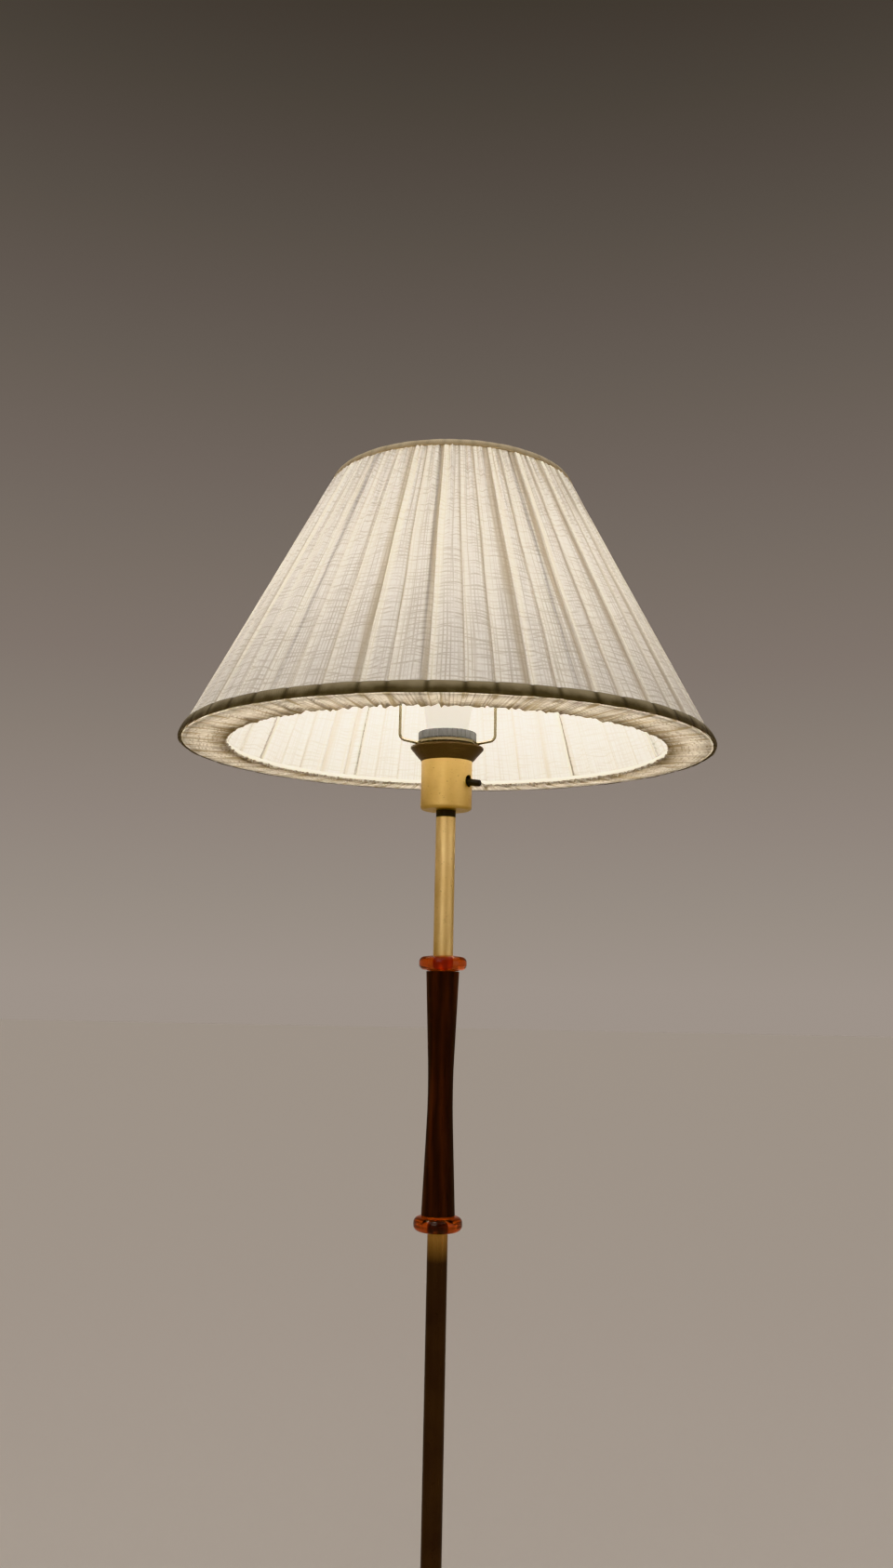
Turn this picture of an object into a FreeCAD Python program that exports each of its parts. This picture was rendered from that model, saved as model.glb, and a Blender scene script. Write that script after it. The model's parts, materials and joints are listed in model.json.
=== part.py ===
import FreeCAD, Part

# Floor lamp: weighted brass base, brass column with a turned wooden grip between two amber
# collars, switched lampholder, harp and a pleated open shade. Millimetres, +Z up, and the
# origin is on the floor under the column. The harp lies in the XZ plane, -Y is the front,
# and the cord leaves the base at +Y.

import math
import os

import Sketcher

SIZES = {
    # base
    "felt_thickness": 2.0,
    "felt_radius": 131.0,
    "base_radius": 135.0,
    "rim_height": 14.0,
    "base_height": 24.0,
    "base_flat_radius": 18.0,
    "cover_wall": 1.0,
    "cover_foot": 0.5,
    "shoulder_radius": 5.0,
    "weight_gap": 0.3,
    "recess_radius": 60.0,
    "recess_height": 15.0,
    "neck_radius": 17.0,
    "neck_height": 10.0,
    "neck_foot_height": 2.5,
    "neck_step_height": 4.0,
    "neck_step_bend": 2.2,
    "neck_wall": 2.5,
    "neck_taper": 0.2,
    "gland_height": 5.0,
    "gland_bore": 3.2,
    "gland_wall": 1.0,
    "gland_length": 14.0,
    "gland_flange": 1.5,
    "gland_flange_wall": 0.8,
    "block_width": 24.0,
    "block_depth": 14.0,
    "block_distance": 27.0,
    "block_floor_gap": 0.5,
    "block_screw_radius": 1.5,
    "block_screw_pitch": 8.0,
    "block_screw_floor": 1.0,
    # column
    "tube_radius": 8.75,
    "tube_wall": 1.0,
    "lower_tube_length": 758.2,
    "upper_tube_length": 122.3,
    "plug_length": 14.0,
    "fit_play": 0.05,
    "thread_radius": 4.9,
    "thread_play": 0.1,
    "thread_wall": 1.15,
    "thread_end": 0.5,
    "hole_play": 0.4,
    "nut_wall": 2.2,
    "nut_height": 4.0,
    "washer_radius": 12.0,
    "washer_height": 1.5,
    # grip and amber collars
    "grip_length": 206.0,
    "grip_end_radius": 14.45,
    "grip_waist_radius": 10.3,
    "grip_waist_bend": 690.0,
    "collar_radius": 21.0,
    "collar_height": 14.0,
    "collar_dome": 1.75,
    "collar_corner": 5.0,
    "collar_lip": 1.5,
    # lampholder and switch
    "spacer_height": 6.2,
    "can_height": 44.0,
    "can_wall": 0.8,
    "can_gap": 2.5,
    "can_corner": 3.0,
    "lock_nut_height": 3.0,
    "cap_wall": 2.0,
    "cap_floor": 3.0,
    "lever_height": 25.5,
    "lever_hole_radius": 5.5,
    "lever_radius": 3.0,
    "lever_reach": 17.2,
    "lever_tail": 5.0,
    "lever_foot_corner": 1.2,
    "lever_tip_corner": 1.6,
    "lever_tilt": 9.0,
    "switch_angle": -29.0,
    "switch_depth": 5.5,
    "switch_front_gap": 1.5,
    "switch_back": 5.0,
    "switch_half_width": 6.0,
    "switch_half_height": 7.0,
    "slot_half_height": 5.2,
    "slot_play": 0.3,
    "slot_back": 9.4,
    "pin_radius": 1.0,
    "bridge_thickness": 0.6,
    "bridge_gap": 0.6,
    "pin_gap": 0.2,
    "window_play": 0.3,
    "insert_height": 6.5,
    "shell_height": 22.0,
    "shell_wall": 0.7,
    "shell_play": 0.2,
    "screw_channel": 3.9,
    "terminal_screw_radius": 1.4,
    "sleeve_wall": 1.8,
    "sleeve_height": 26.7,
    "contact_radius": 2.6,
    "contact_height": 3.0,
    "contact_gap": 0.3,
    "contact_flange": 1.6,
    "contact_flange_height": 1.0,
    "shell_floor_gap": 2.4,
    # flared collar, ring nut and harp
    "flare_radius": 33.0,
    "flare_skirt": 11.5,
    "flare_height": 12.9,
    "flare_wall": 1.0,
    "flare_inner_wall": 1.5,
    "gasket_height": 2.8,
    "gasket_radius": 24.0,
    "harp_ring_radius": 26.8,
    "harp_ring_height": 2.5,
    "ring_nut_radius": 26.5,
    "ring_nut_height": 8.6,
    "ring_nut_chamfer": 1.5,
    "ring_nut_chamfer_height": 1.1,
    "ring_nut_grooves": 40,
    "groove_radius": 0.9,
    "groove_offset": 0.2,
    "harp_half_width": 43.0,
    "harp_wire_radius": 1.5,
    "harp_wire_sink": 0.8,
    "harp_rise": 3.5,
    "harp_foot_bend": 6.0,
    "harp_top_bend": 26.0,
    "harp_height": 227.6,
    "saddle_half_length": 15.0,
    "saddle_half_width": 6.0,
    "saddle_thickness": 4.5,
    "stud_radius": 3.0,
    "stud_height": 9.0,
    # bulb
    "bulb_cap_radius": 13.0,
    "bulb_cap_top": 25.0,
    "bulb_cap_wall": 0.5,
    "bulb_cap_lip": 0.6,
    "bulb_tip_radius": 4.6,
    "bulb_tip_height": 1.6,
    "bulb_cap_foot": 4.0,
    "bulb_cap_taper": 3.0,
    "bulb_plug_depth": 5.0,
    "bulb_neck_floor": 2.0,
    "bulb_neck_top": 28.0,
    "bulb_neck_radius": 18.1,
    "bulb_housing_radius": 24.0,
    "bulb_housing_top": 64.0,
    "bulb_globe_radius": 31.0,
    "bulb_length": 123.8,
    "bulb_wall": 1.2,
    "bulb_board_thickness": 1.6,
    "bulb_board_drop": 3.0,
    "bulb_board_gap": 0.9,
    "bulb_rim_gap": 0.3,
    "bulb_shoulder_height": 20.0,
    "bulb_shoulder_bend": 50.0,
    "bulb_crown_gap": 0.5,
    # shade
    "shade_height": 249.5,
    "shade_bottom_radius": 238.5,
    "shade_top_radius": 110.2,
    "shade_opening_radius": 196.5,
    "underside_rise": 1.8,
    "cloth_thickness": 1.2,
    "trim_thickness": 2.3,
    "bottom_trim_height": 10.6,
    "top_trim_height": 6.6,
    "trim_corner": 0.9,
    "top_wire_radius": 1.6,
    "bottom_wire_radius": 2.0,
    "rib_radius": 1.2,
    "rib_bend": 3.2,
    "rib_count": 12,
    "rib_angle": -5.2,
    "wire_gap": 0.1,
    "top_ring_drop": 2.1,
    "spider_drop": 12.65,
    "spider_hub_radius": 11.0,
    "spider_hub_thickness": 2.5,
    "spider_wire_radius": 1.75,
    "spider_count": 3,
    "spider_angle": 30.0,
    "hub_play": 0.2,
    "arm_sink": 1.5,
    # finial and inner lead
    "finial_radius": 6.0,
    "finial_height": 10.3,
    "finial_rim": 1.6,
    "finial_waist_height": 3.2,
    "finial_waist_depth": 2.0,
    "finial_waist_bend": 0.8,
    "finial_bead_height": 5.5,
    "finial_crown_inset": 1.5,
    "stud_end_gap": 0.4,
    "finial_gap": 0.2,
    "lead_radius": 2.5,
    "lead_height": 3.0,
    "lead_bend": 7.0,
    "lead_top_gap": 1.5,
}


class Size:
    """A value together with the spreadsheet expression that gives it."""

    def __init__(self, value, text):
        self.value = value
        self.text = text

    def __add__(self, other):
        other = sized(other)
        return Size(self.value + other.value, "(%s + %s)" % (self.text, other.text))

    def __sub__(self, other):
        other = sized(other)
        return Size(self.value - other.value, "(%s - %s)" % (self.text, other.text))

    def __mul__(self, other):
        other = sized(other)
        return Size(self.value * other.value, "(%s * %s)" % (self.text, other.text))

    def __truediv__(self, other):
        other = sized(other)
        return Size(self.value / other.value, "(%s / %s)" % (self.text, other.text))

    def __neg__(self):
        return Size(-self.value, "(-1 * %s)" % self.text)

    def __radd__(self, other):
        return sized(other) + self

    def __rsub__(self, other):
        return sized(other) - self

    def __rmul__(self, other):
        return sized(other) * self


def sized(number):
    return number if isinstance(number, Size) else Size(number, "%.10g" % number)


def cosine(angle):
    return Size(math.cos(math.radians(angle.value)), "cos(%s)" % angle.text)


def sine(angle):
    return Size(math.sin(math.radians(angle.value)), "sin(%s)" % angle.text)


class Sizes:
    """A set of sizes, each reached by its name."""


doc = FreeCAD.newDocument("floor_lamp")
sheet = doc.addObject("Spreadsheet::Sheet", "Sizes")
S = Sizes()
for row, (name, number) in enumerate(SIZES.items(), start=1):
    sheet.set("A%d" % row, name)
    sheet.set("B%d" % row, "%.10g" % number)
    sheet.setAlias("B%d" % row, name)
    setattr(S, name, Size(number, "Sizes." + name))
doc.recompute()

bodies = []


# ---------------------------------------------------------------- helpers

def body(label, z=0, turn=0, x=0, y=0, tilt=0, roll=0):
    """A new body placed at (x, y, z) and turned by yaw, pitch and roll in degrees."""
    x, y, z, turn, tilt, roll = [sized(number) for number in (x, y, z, turn, tilt, roll)]
    piece = doc.addObject("PartDesign::Body", label)
    piece.Label = label
    piece.Placement = FreeCAD.Placement(
        FreeCAD.Vector(x.value, y.value, z.value),
        FreeCAD.Rotation(turn.value, tilt.value, roll.value))
    place = "vector(%s; %s; %s)" % (x.text, y.text, z.text)
    rotation = "rotation(%s; %s; %s)" % (turn.text, tilt.text, roll.text)
    piece.setExpression("Placement", "placement(%s; %s)" % (place, rotation))
    bodies.append(piece)
    return piece


def origin(piece, role):
    return [item for item in piece.Origin.OriginFeatures if item.Role == role][0]


def sketch_on(piece, plane="XZ_Plane"):
    sketch = piece.newObject("Sketcher::SketchObject", "Sketch")
    sketch.AttachmentSupport = [(origin(piece, plane), "")]
    sketch.MapMode = "FlatFace"
    return sketch


def drive(sketch, constraint, size):
    """Adds a constraint whose value follows the sheet."""
    index = sketch.addConstraint(constraint)
    if "Sizes" in size.text:
        sketch.setExpression("Constraints[%d]" % index, size.text)


def pin(sketch, geometry, end, x, y):
    """Holds one point of a piece of geometry at (x, y)."""
    drive(sketch, Sketcher.Constraint("DistanceX", -1, 1, geometry, end, x.value), x)
    drive(sketch, Sketcher.Constraint("DistanceY", -1, 1, geometry, end, y.value), y)


def circle(sketch, radius, x=0, y=0):
    radius, x, y = sized(radius), sized(x), sized(y)
    center = FreeCAD.Vector(x.value, y.value, 0)
    round_line = Part.Circle(center, FreeCAD.Vector(0, 0, 1), radius.value)
    geometry = sketch.addGeometry(round_line)
    pin(sketch, geometry, 3, x, y)
    drive(sketch, Sketcher.Constraint("Radius", geometry, radius.value), radius)


def bend(before, corner, after, radius):
    """The arc of a rounded corner, its two ends, and whether it turns left."""
    toward = (before - corner).normalize()
    away = (after - corner).normalize()
    half = toward.getAngle(away) / 2
    reach = radius / math.tan(half)
    start = corner + toward * reach
    end = corner + away * reach
    middle = (toward + away).normalize()
    center = corner + middle * (radius / math.sin(half))
    left = (-toward).cross(away).z > 0
    first, last = (start, end) if left else (end, start)
    angles = [math.atan2(point.y - center.y, point.x - center.x) for point in (first, last)]
    if angles[1] < angles[0]:
        angles[1] += 2 * math.pi
    ring = Part.Circle(center, FreeCAD.Vector(0, 0, 1), radius)
    return Part.ArcOfCircle(ring, angles[0], angles[1]), start, end, left


def outline(sketch, points, closed=True):
    """Straight runs through (x, y) points; a third number rounds that corner."""
    corners = []
    for point in points:
        x, y = sized(point[0]), sized(point[1])
        radius = sized(point[2]) if len(point) > 2 else None
        corners.append((x, y, radius, FreeCAD.Vector(x.value, y.value, 0)))
    count = len(corners)
    arcs = {}
    for index, (x, y, radius, spot) in enumerate(corners):
        if radius is not None:
            after = corners[(index + 1) % count][3]
            arcs[index] = bend(corners[index - 1][3], spot, after, radius.value)
    runs = []
    for index in range(count if closed else count - 1):
        following = (index + 1) % count
        start = arcs[index][2] if index in arcs else corners[index][3]
        end = arcs[following][1] if following in arcs else corners[following][3]
        runs.append(sketch.addGeometry(Part.LineSegment(start, end)))
    for index, (x, y, radius, spot) in enumerate(corners):
        into = runs[index - 1] if closed or index else None
        out = runs[index] if index < len(runs) else None
        if index not in arcs:
            if into is not None and out is not None:
                sketch.addConstraint(Sketcher.Constraint("Coincident", into, 2, out, 1))
            if out is not None:
                pin(sketch, out, 1, x, y)
            else:
                pin(sketch, into, 2, x, y)
            continue
        arc, start, end, left = arcs[index]
        curve = sketch.addGeometry(arc)
        entry, leave = (1, 2) if left else (2, 1)
        sketch.addConstraint(Sketcher.Constraint("Tangent", into, 2, curve, entry))
        sketch.addConstraint(Sketcher.Constraint("Tangent", curve, leave, out, 1))
        drive(sketch, Sketcher.Constraint("Radius", curve, radius.value), radius)
        mark = sketch.addGeometry(Part.Point(spot), True)
        pin(sketch, mark, 1, x, y)
        sketch.addConstraint(Sketcher.Constraint("PointOnObject", mark, 1, into))
        sketch.addConstraint(Sketcher.Constraint("PointOnObject", mark, 1, out))


def rectangle(sketch, left, low, right, high):
    outline(sketch, [(left, low), (right, low), (right, high), (left, high)])


def spin(piece, sketch):
    """Turns a half section about the body's own vertical axis."""
    feature = piece.newObject("PartDesign::Revolution", "Revolution")
    feature.Profile = sketch
    feature.ReferenceAxis = (sketch, ["V_Axis"])
    feature.Angle = 360


def turned(label, section, z=0, **placing):
    """A turned piece: its half section is a list of (radius, height) points."""
    piece = body(label, z, **placing)
    sketch = sketch_on(piece)
    outline(sketch, section)
    spin(piece, sketch)
    return piece


def sleeve(label, bore, radius, height, z):
    """A plain turned ring or tube."""
    return turned(label, [(bore, 0), (radius, 0), (radius, height), (bore, height)], z)


def wire_ring(label, ring_radius, wire_radius, z):
    piece = body(label, z)
    sketch = sketch_on(piece)
    circle(sketch, wire_radius, ring_radius)
    spin(piece, sketch)
    return piece


def pad(piece, sketch, length, both_ways=False):
    feature = piece.newObject("PartDesign::Pad", "Pad")
    feature.Profile = sketch
    feature.Midplane = both_ways
    feature.Length = sized(length).value
    feature.setExpression("Length", sized(length).text)


def pocket(piece, sketch, length=None, both_ways=False, away=False):
    """A cut: through everything on one side, or by a length on both sides."""
    feature = piece.newObject("PartDesign::Pocket", "Pocket")
    feature.Profile = sketch
    if length is None:
        feature.Type = "ThroughAll"
    else:
        feature.Length = sized(length).value
        feature.setExpression("Length", sized(length).text)
    feature.Midplane = both_ways
    feature.Reversed = away
    return feature


def bent_wire(piece, radius, points, plane="XZ_Plane"):
    """A round wire along straight runs and bends."""
    route = sketch_on(piece, plane)
    outline(route, points, closed=False)
    section = piece.newObject("Sketcher::SketchObject", "Section")
    section.AttachmentSupport = [(route, "Edge1")]
    section.MapMode = "NormalToEdge"
    section.MapPathParameter = 0
    circle(section, radius)
    feature = piece.newObject("PartDesign::AdditivePipe", "Pipe")
    feature.Profile = section
    feature.Spine = route
    return feature


def around(piece, feature, count):
    """Repeats a feature evenly about the body's own vertical axis."""
    pattern = piece.newObject("PartDesign::PolarPattern", "PolarPattern")
    pattern.Originals = [feature]
    pattern.Axis = (origin(piece, "Z_Axis"), [""])
    pattern.Angle = 360
    pattern.Occurrences = int(count.value)
    pattern.setExpression("Occurrences", count.text)
    piece.Tip = pattern


def hexagon(sketch, half_flat):
    """A hexagon given by half its width across flats."""
    tip = half_flat * (2 / math.sqrt(3))
    outline(sketch, [(tip, 0), (tip / 2, half_flat), (-tip / 2, half_flat),
                     (-tip, 0), (-tip / 2, -half_flat), (tip / 2, -half_flat)])


def hex_nut(label, bore, wall, height, z):
    piece = body(label, z)
    sketch = sketch_on(piece, "XY_Plane")
    hexagon(sketch, bore + wall)
    circle(sketch, bore)
    pad(piece, sketch, height)
    return piece


def posts(label, radius, height, spots, z, **placing):
    """Several equal upright cylinders in one node."""
    piece = body(label, z, **placing)
    sketch = sketch_on(piece, "XY_Plane")
    for x, y in spots:
        circle(sketch, radius, x, y)
    pad(piece, sketch, height)
    return piece


# ---------------------------------------------------------------- shared levels and radii

L = Sizes()
L.thread_bore = S.thread_radius - S.thread_wall
L.tapped_hole = S.thread_radius + S.thread_play
L.clear_hole = S.thread_radius + S.hole_play
L.tube_bore = S.tube_radius - S.tube_wall
L.base = S.felt_thickness
L.recess_top = L.base + S.recess_height
L.column_foot = L.base + S.base_height
L.lower_collar = L.column_foot + S.lower_tube_length
L.grip = L.lower_collar + S.collar_height
L.upper_collar = L.grip + S.grip_length
L.upper_tube = L.upper_collar + S.collar_height
L.spacer = L.upper_tube + S.upper_tube_length
L.can = L.spacer + S.spacer_height
L.cap = L.can + S.can_wall + S.lock_nut_height
L.lever = L.can + S.lever_height
L.insert = L.lever + S.switch_half_height
L.shell = L.insert + S.insert_height
L.bulb = L.shell + S.contact_height + S.contact_gap
L.flare = L.can + S.can_height
L.gasket = L.flare + S.flare_height
L.harp_ring = L.gasket + S.gasket_height
L.ring_nut = L.harp_ring + S.harp_ring_height
L.saddle_top = L.harp_ring + S.harp_height
L.hub_center = L.saddle_top + S.spider_hub_thickness / 2
L.shade_top = L.hub_center + S.spider_drop + S.top_ring_drop
L.shade_foot = L.shade_top - S.shade_height

L.shell_bore = S.bulb_cap_radius + S.shell_play
L.shell_radius = L.shell_bore + S.shell_wall
L.sleeve_bore = L.shell_radius + S.screw_channel
L.sleeve_radius = L.sleeve_bore + S.sleeve_wall
L.can_bore = L.sleeve_radius + S.can_gap
L.can_radius = L.can_bore + S.can_wall
L.cap_bore = L.sleeve_radius - S.cap_wall
L.pivot_radius = L.can_radius - S.switch_depth
L.switch_front = L.can_bore - S.switch_front_gap
L.over_sleeve = L.sleeve_radius + S.hole_play

L.cloth_bottom = S.shade_bottom_radius - S.trim_thickness
L.cloth_top = S.shade_top_radius - S.trim_thickness
L.flare_ratio = (L.cloth_bottom - L.cloth_top) / S.shade_height
CONE_COSINE = math.cos(math.atan(L.flare_ratio.value))


def cloth_radius(height):
    """Outer radius of the cloth cone at a height above the shade's foot."""
    return L.cloth_bottom - L.flare_ratio * height


def inside_cloth(height, clearance):
    """Radius a given clearance inside the cloth, measured square to the cone."""
    return cloth_radius(height) - (S.cloth_thickness + clearance) / CONE_COSINE


L.top_ring_height = S.shade_height - S.top_ring_drop
L.bottom_ring_height = S.underside_rise + S.cloth_thickness + S.bottom_wire_radius + S.wire_gap
L.inner_ring_height = S.cloth_thickness + S.bottom_wire_radius + S.wire_gap
L.top_ring_radius = inside_cloth(L.top_ring_height, S.top_wire_radius + S.wire_gap)
L.bottom_ring_radius = inside_cloth(L.bottom_ring_height, S.bottom_wire_radius + S.wire_gap)
L.inner_ring_radius = S.shade_opening_radius + S.bottom_wire_radius
L.harp_wire_foot = S.harp_ring_radius - S.harp_wire_sink


# ---------------------------------------------------------------- base

def make_base():
    turned("base_felt_pad", [(0, 0), (S.felt_radius, 0), (S.felt_radius, S.felt_thickness),
                             (0, S.felt_thickness)])
    edge = S.base_radius - S.cover_wall - S.weight_gap
    weight = turned("base_weight", [
        (L.clear_hole, S.recess_height),
        (S.recess_radius, S.recess_height),
        (S.recess_radius, 0),
        (edge, 0),
        (edge, S.rim_height - S.cover_wall - S.weight_gap, S.shoulder_radius - S.cover_wall),
        (S.base_flat_radius - S.cover_wall, S.base_height - S.cover_wall),
        (L.clear_hole, S.base_height - S.cover_wall)], L.base)
    slot = sketch_on(weight)
    half = S.gland_bore + S.gland_wall + S.hole_play
    rectangle(slot, -half, -1, half, S.gland_height + half)
    pocket(weight, slot)

    inner = S.base_radius - S.cover_wall
    cover = turned("base_cover", [
        (L.clear_hole, S.base_height - S.cover_wall),
        (S.base_flat_radius, S.base_height - S.cover_wall),
        (inner, S.rim_height - S.cover_wall, S.shoulder_radius - S.cover_wall),
        (inner, S.cover_foot),
        (S.base_radius, S.cover_foot),
        (S.base_radius, S.rim_height, S.shoulder_radius),
        (S.base_flat_radius, S.base_height),
        (L.clear_hole, S.base_height)], L.base)
    hole = sketch_on(cover)
    circle(hole, S.gland_bore + S.gland_wall + S.fit_play, 0, S.gland_height)
    pocket(cover, hole)

    bore = S.tube_radius + S.fit_play
    top = S.tube_radius + S.neck_wall
    turned("base_neck_ring", [
        (bore, 0), (S.neck_radius, 0), (S.neck_radius, S.neck_foot_height),
        (top + S.neck_taper, S.neck_step_height, S.neck_step_bend), (top, S.neck_height),
        (bore, S.neck_height)], L.column_foot)

    washer = L.recess_top - S.washer_height
    nut = washer - S.nut_height
    sleeve("base_washer", L.clear_hole, S.washer_radius, S.washer_height, washer)
    hex_nut("base_nut", L.tapped_hole, S.nut_wall, S.nut_height, nut)
    sleeve("base_threaded_pipe", L.thread_bore, S.thread_radius,
           L.column_foot + S.plug_length - nut + S.thread_end, nut - S.thread_end)


def make_cord_entry():
    gland_radius = S.gland_bore + S.gland_wall
    flange_radius = gland_radius + S.gland_flange_wall
    start = S.base_radius + S.fit_play - S.gland_length
    turned("cord_gland", [
        (S.gland_bore, 0), (gland_radius, 0), (gland_radius, S.gland_length),
        (flange_radius, S.gland_length),
        (flange_radius, S.gland_length + S.gland_flange),
        (S.gland_bore, S.gland_length + S.gland_flange)],
        L.base + S.gland_height, y=start, roll=-90)

    height = S.recess_height - S.block_floor_gap
    block = body("terminal_block", L.base + S.block_floor_gap, y=S.block_distance)
    plan = sketch_on(block, "XY_Plane")
    rectangle(plan, -S.block_width / 2, 0, S.block_width / 2, S.block_depth)
    for x in (-S.block_screw_pitch, 0, S.block_screw_pitch):
        circle(plan, S.block_screw_radius + S.thread_play, x, S.block_depth / 2)
    pad(block, plan, height)
    spots = [(x, S.block_depth / 2) for x in (-S.block_screw_pitch, 0, S.block_screw_pitch)]
    posts("terminal_screws", S.block_screw_radius, height / 2, spots,
          L.base + S.block_floor_gap + S.block_screw_floor, y=S.block_distance)


# ---------------------------------------------------------------- column

def make_tube(name, z, length):
    """A column tube with the two threaded plugs that are pressed into its ends."""
    sleeve(name, L.tube_bore, S.tube_radius, length, z)
    plug = L.tube_bore - S.fit_play
    sleeve(name + "_foot_plug", L.tapped_hole, plug, S.plug_length, z)
    sleeve(name + "_head_plug", L.tapped_hole, plug, S.plug_length, z + length - S.plug_length)


def make_amber_collar(place, z):
    """A domed amber ring; the bush that clamps its inner lip carries the column."""
    bore = S.tube_radius + S.hole_play
    turned(place + "_amber_collar", [
        (L.clear_hole, 0), (bore, 0),
        (S.collar_radius, S.collar_dome, S.collar_corner),
        (S.collar_radius, S.collar_height - S.collar_dome, S.collar_corner),
        (bore, S.collar_height), (bore, S.collar_lip), (L.clear_hole, S.collar_lip)], z)
    sleeve(place + "_collar_bush", L.clear_hole, S.tube_radius,
           S.collar_height - S.collar_lip, z + S.collar_lip)


def make_column():
    make_tube("lower_tube", L.column_foot, S.lower_tube_length)
    make_amber_collar("lower", L.lower_collar)
    turned("wood_grip", [
        (L.clear_hole, 0), (S.grip_end_radius, 0),
        (S.grip_waist_radius, S.grip_length / 2, S.grip_waist_bend),
        (S.grip_end_radius, S.grip_length), (L.clear_hole, S.grip_length)], L.grip)
    make_amber_collar("upper", L.upper_collar)
    make_tube("upper_tube", L.upper_tube, S.upper_tube_length)
    sleeve("grip_threaded_pipe", L.thread_bore, S.thread_radius,
           S.grip_length + 2 * S.collar_height + 2 * S.plug_length,
           L.lower_collar - S.plug_length)


# ---------------------------------------------------------------- lampholder

def make_lampholder():
    sleeve("spacer_bush", L.clear_hole, S.tube_radius, S.spacer_height, L.spacer)
    sleeve("top_nipple", L.thread_bore, S.thread_radius,
           L.cap + S.cap_floor - L.spacer + S.plug_length, L.spacer - S.plug_length)
    hex_nut("lampholder_lock_nut", L.tapped_hole, S.nut_wall, S.lock_nut_height,
            L.can + S.can_wall)

    can = turned("lampholder_cover", [
        (L.clear_hole, 0), (L.can_radius, 0, S.can_corner), (L.can_radius, S.can_height),
        (L.can_bore, S.can_height), (L.can_bore, S.can_wall, S.can_corner - S.can_wall),
        (L.clear_hole, S.can_wall)], L.can, turn=S.switch_angle)
    hole = sketch_on(can, "YZ_Plane")
    circle(hole, S.lever_hole_radius, 0, S.lever_height)
    pocket(can, hole, away=True)

    cap_height = L.shell - L.cap
    cap = turned("lampholder_cap", [
        (L.tapped_hole, 0), (L.sleeve_radius, 0), (L.sleeve_radius, cap_height),
        (L.cap_bore, cap_height), (L.cap_bore, S.cap_floor),
        (L.tapped_hole, S.cap_floor)], L.cap, turn=S.switch_angle)
    window = sketch_on(cap, "YZ_Plane")
    half_width = S.switch_half_width + S.window_play
    rectangle(window, -half_width, L.lever - L.cap - S.switch_half_height - S.window_play,
              half_width, L.lever - L.cap + S.switch_half_height + S.window_play)
    pocket(cap, window, away=True)

    insert = turned("lampholder_insert", [
        (S.contact_radius + S.thread_play, 0), (L.cap_bore - S.window_play, 0),
        (L.cap_bore - S.window_play, S.insert_height),
        (S.contact_radius + S.thread_play, S.insert_height)], L.insert)
    screw_ring = (L.shell_radius + L.cap_bore - S.window_play) / 2
    holes = sketch_on(insert, "XY_Plane")
    for x, y in ((screw_ring, 0), (-screw_ring, 0), (0, screw_ring), (0, -screw_ring)):
        circle(holes, S.terminal_screw_radius + S.thread_play, x, y)
    pocket(insert, holes, away=True)
    posts("lampholder_terminal_screws", S.terminal_screw_radius, S.insert_height + 1,
          [(screw_ring, 0), (-screw_ring, 0), (0, screw_ring), (0, -screw_ring)], L.insert)

    floor_hole = S.contact_radius + S.shell_floor_gap
    turned("screw_shell", [
        (floor_hole, 0), (L.shell_radius, 0), (L.shell_radius, S.shell_height),
        (L.shell_bore, S.shell_height), (L.shell_bore, S.shell_wall),
        (floor_hole, S.shell_wall)], L.shell)
    stem = S.insert_height - 1
    flange = S.contact_radius + S.contact_flange
    turned("centre_contact", [
        (0, -stem), (S.contact_radius, -stem), (S.contact_radius, 0),
        (flange, 0), (flange, S.contact_flange_height),
        (S.contact_radius, S.contact_flange_height),
        (S.contact_radius, S.contact_height), (0, S.contact_height)], L.shell)
    sleeve("lampholder_sleeve", L.sleeve_bore, L.sleeve_radius, S.sleeve_height, L.shell)


def make_switch():
    housing = body("switch_housing", L.lever, S.switch_angle)
    side = sketch_on(housing)
    rectangle(side, S.switch_back, -S.switch_half_height, L.switch_front, S.switch_half_height)
    pad(housing, side, 2 * S.switch_half_width, both_ways=True)
    slot = sketch_on(housing)
    rectangle(slot, S.slot_back, -S.slot_half_height, L.switch_front + 1, S.slot_half_height)
    pocket(housing, slot, 2 * (S.lever_radius + S.slot_play), both_ways=True)
    eye = sketch_on(housing)
    circle(eye, S.pin_radius + S.fit_play, L.pivot_radius)
    pocket(housing, eye, 2 * S.switch_half_width + 1, both_ways=True)

    bar = body("switch_pivot_pin", L.lever, S.switch_angle)
    section = sketch_on(bar)
    circle(section, S.pin_radius, L.pivot_radius)
    pad(bar, section, 2 * (S.switch_half_width - S.pin_gap), both_ways=True)

    bridge = body("switch_contact_bridge", L.lever, S.switch_angle)
    leaf = sketch_on(bridge)
    half = S.slot_half_height - S.bridge_gap
    rectangle(leaf, S.slot_back, -half, S.slot_back + S.bridge_thickness, half)
    pad(bridge, leaf, 2 * S.lever_radius - 1, both_ways=True)

    lever = turned("switch_lever", [
        (0, -S.lever_tail), (S.lever_radius, -S.lever_tail, S.lever_foot_corner),
        (S.lever_radius, S.lever_reach, S.lever_tip_corner), (0, S.lever_reach)],
        L.lever, x=L.pivot_radius * cosine(S.switch_angle),
        y=L.pivot_radius * sine(S.switch_angle), turn=S.switch_angle,
        tilt=90 + S.lever_tilt)
    cross = sketch_on(lever)
    circle(cross, S.pin_radius + S.fit_play)
    pocket(lever, cross, 4 * S.lever_radius, both_ways=True)


def make_inner_lead():
    top = L.lever - S.switch_half_height - S.lead_top_gap - L.base
    lead = body("inner_lead", L.base)
    bent_wire(lead, S.lead_radius, [
        (S.block_distance, S.lead_height), (0, S.lead_height, S.lead_bend), (0, top)],
        "YZ_Plane")


# ---------------------------------------------------------------- collar, harp and finial

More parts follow.
